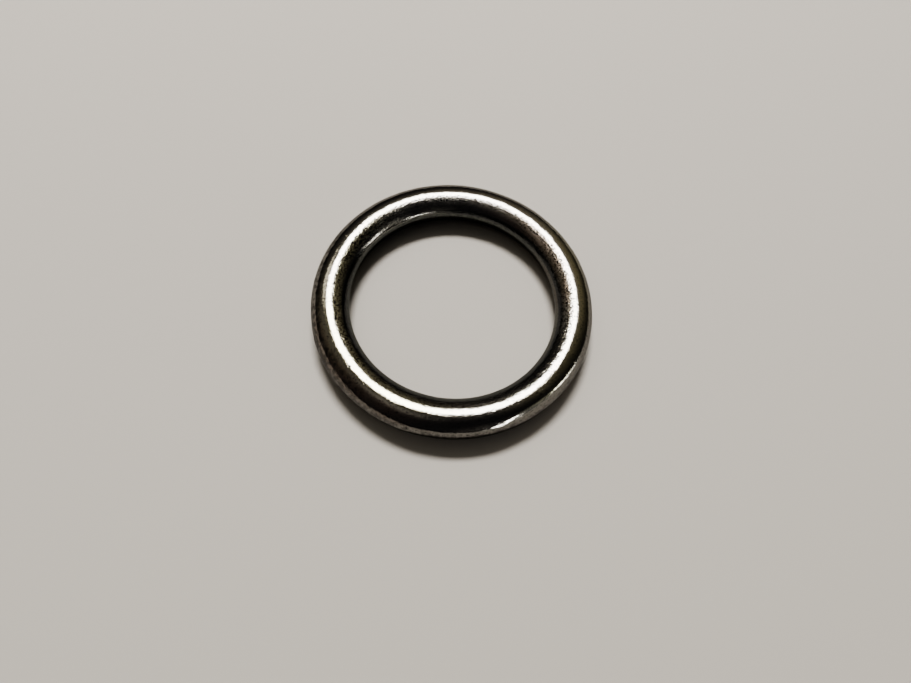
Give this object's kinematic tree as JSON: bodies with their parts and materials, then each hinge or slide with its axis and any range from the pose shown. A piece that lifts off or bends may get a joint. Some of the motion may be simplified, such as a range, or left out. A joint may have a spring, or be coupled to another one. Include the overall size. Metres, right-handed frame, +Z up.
{
  "type": "metal o-ring",
  "caption": "Closed ring of round polished metal bar that lies flat, with an open eye for a strap, cord or snap hook.",
  "frame": {"origin": "on the ring's own axis, at the level of its underside, which is the surface that it lies on", "axes": "+Z up along the ring's axis; X and Y lie in its plane, and the ring is the same in every direction there"},
  "size_m": [0.034, 0.034, 0.0045],
  "materials": {
    "ring_metal": "polished"
  },
  "bodies": {
    "root": {"ring": "ring_metal"}
  },
  "joints": []
}
